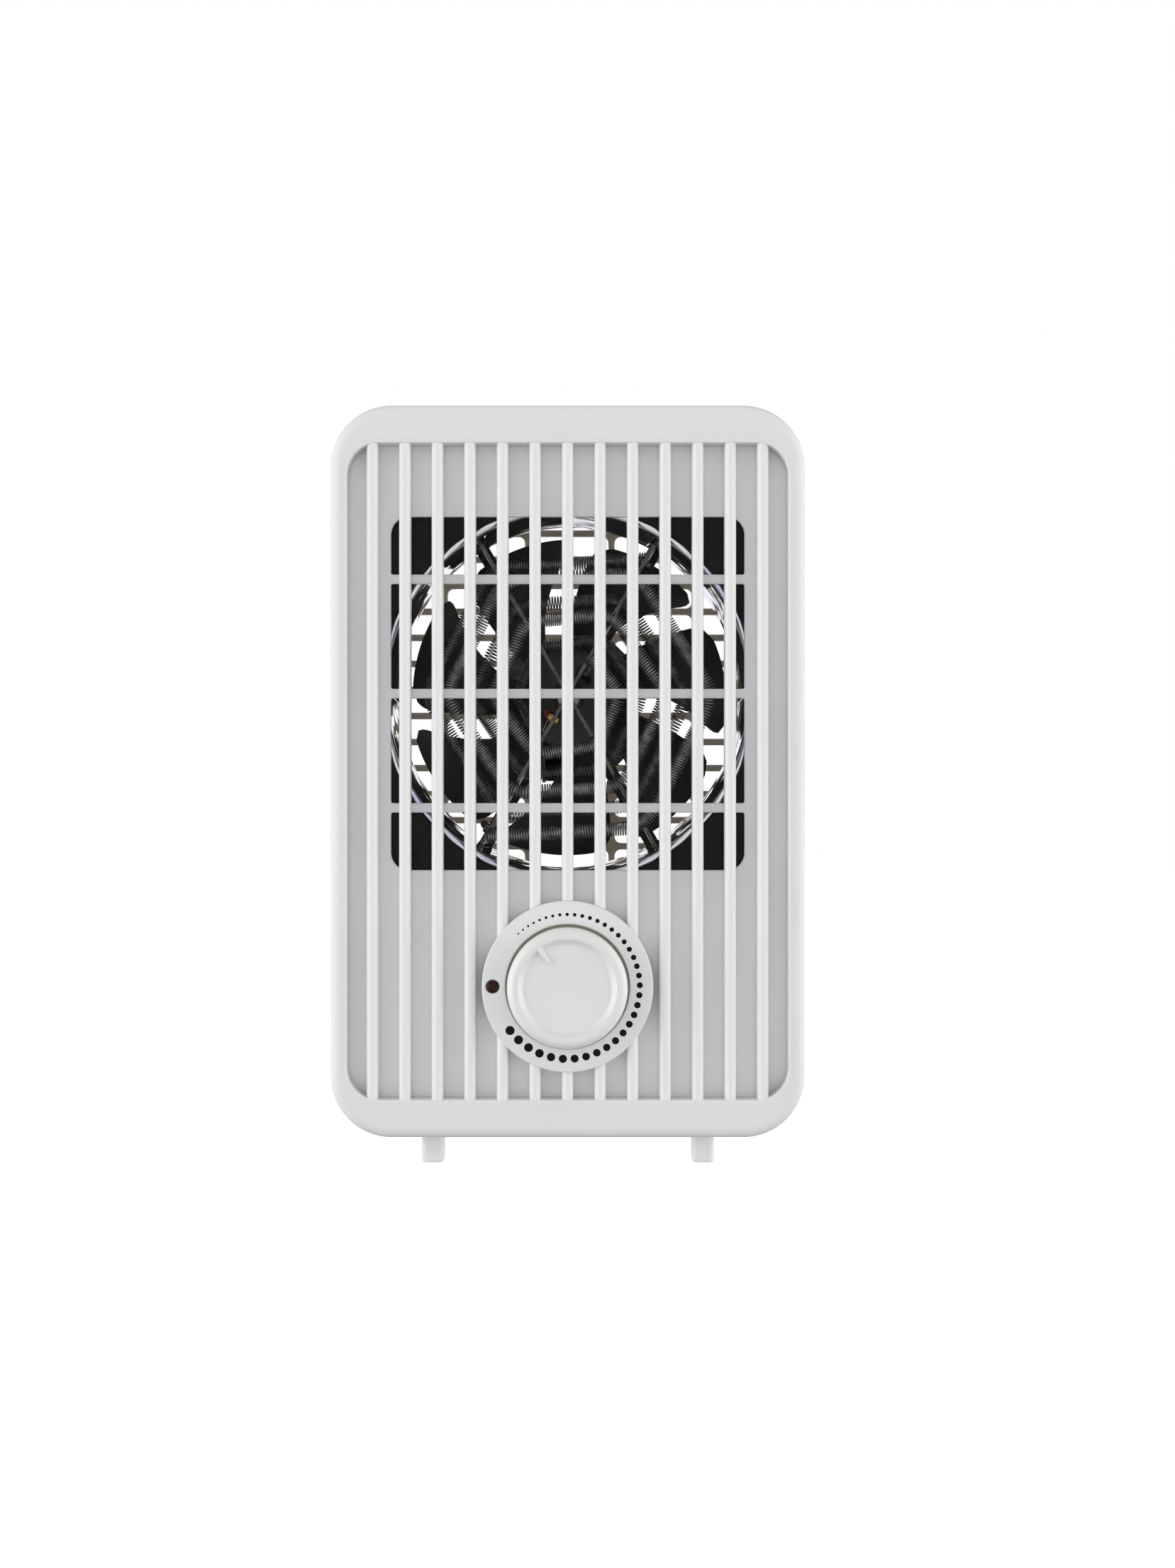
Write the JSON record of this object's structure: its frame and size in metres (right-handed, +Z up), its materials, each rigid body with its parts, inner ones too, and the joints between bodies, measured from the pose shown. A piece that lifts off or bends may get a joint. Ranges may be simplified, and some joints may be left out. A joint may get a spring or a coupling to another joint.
{
  "type": "compact fan heater",
  "caption": "Compact upright fan heater with a vertically slatted front, open coil element, axial fan and a round thermostat dial.",
  "frame": {"origin": "on the floor, under the middle of the whole object's box", "axes": "+Z up, the slatted front faces -Y, +X to the right as seen from the front"},
  "size_m": [0.162, 0.1268, 0.26],
  "materials": {
    "white_plastic": "fine satin moulding",
    "knob_plastic": "smooth satin",
    "black_plastic": "heat resistant, matt",
    "lens_plastic": "dark unlit lens",
    "polished_steel": "mirror bright sheet",
    "zinc_steel": "zinc plated",
    "nichrome": "dark oxidised wire",
    "mica": "pressed mica sheet",
    "core_steel": "stamped laminations",
    "copper": "enamelled wire",
    "brass": "turned",
    "ceramic": "unglazed",
    "nylon": "natural nylon",
    "red_sleeve": "woven glass sleeve",
    "blue_sleeve": "woven glass sleeve"
  },
  "bodies": {
    "casing": {"baffle_screw_1": "zinc_steel", "baffle_screw_2": "zinc_steel", "baffle_screw_3": "zinc_steel", "baffle_screw_4": "zinc_steel", "bearing_bracket_front": "zinc_steel", "bearing_bracket_rear": "zinc_steel", "bearing_front": "brass", "bearing_rear": "brass", "cord_gland": "black_plastic", "cutout_bracket": "zinc_steel", "dial_plate": "white_plastic", "element_lead": "red_sleeve", "fan_baffle": "black_plastic", "foot_front_left": "white_plastic", "foot_front_right": "white_plastic", "foot_rear_left": "white_plastic", "foot_rear_right": "white_plastic", "front_coil": "nichrome", "front_grille": "white_plastic", "front_panel": "white_plastic", "front_shell": "white_plastic", "heater_sleeve": "polished_steel", "indicator_lens": "lens_plastic", "live_lead": "red_sleeve", "mica_board_1": "mica", "mica_board_2": "mica", "mica_board_3": "mica", "motor_core": "core_steel", "motor_screw_1": "zinc_steel", "motor_screw_2": "zinc_steel", "motor_spider": "black_plastic", "motor_winding": "copper", "neon_lamp": "ceramic", "neutral_lead": "blue_sleeve", "panel_screw_1": "zinc_steel", "panel_screw_2": "zinc_steel", "panel_screw_3": "zinc_steel", "panel_screw_4": "zinc_steel", "rear_coil": "nichrome", "rear_screw_1": "zinc_steel", "rear_screw_2": "zinc_steel", "rear_screw_3": "zinc_steel", "rear_screw_4": "zinc_steel", "rear_shell": "white_plastic", "switched_lead": "red_sleeve", "terminal_block": "nylon", "thermal_cutout": "ceramic", "thermal_fuse": "ceramic", "thermostat_body": "ceramic", "thermostat_nut": "zinc_steel", "tip_over_switch": "black_plastic"},
    "fan": {"fan_impeller": "black_plastic", "shaft_clip": "zinc_steel", "motor_shaft": "zinc_steel", "motor_rotor": "core_steel"},
    "knob": {"thermostat_knob": "knob_plastic", "thermostat_spindle": "brass"}
  },
  "joints": [
    {"name": "fan_spin", "type": "hinge", "parent": "casing", "child": "fan", "pos_m": [0, 0, 0.1618], "axis": [0, 1, 0], "continuous": true},
    {"name": "thermostat_turn", "type": "hinge", "parent": "casing", "child": "knob", "pos_m": [0, -0.06, 0.0617], "axis": [0, 1, 0], "range_deg": [-8, 268]}
  ]
}
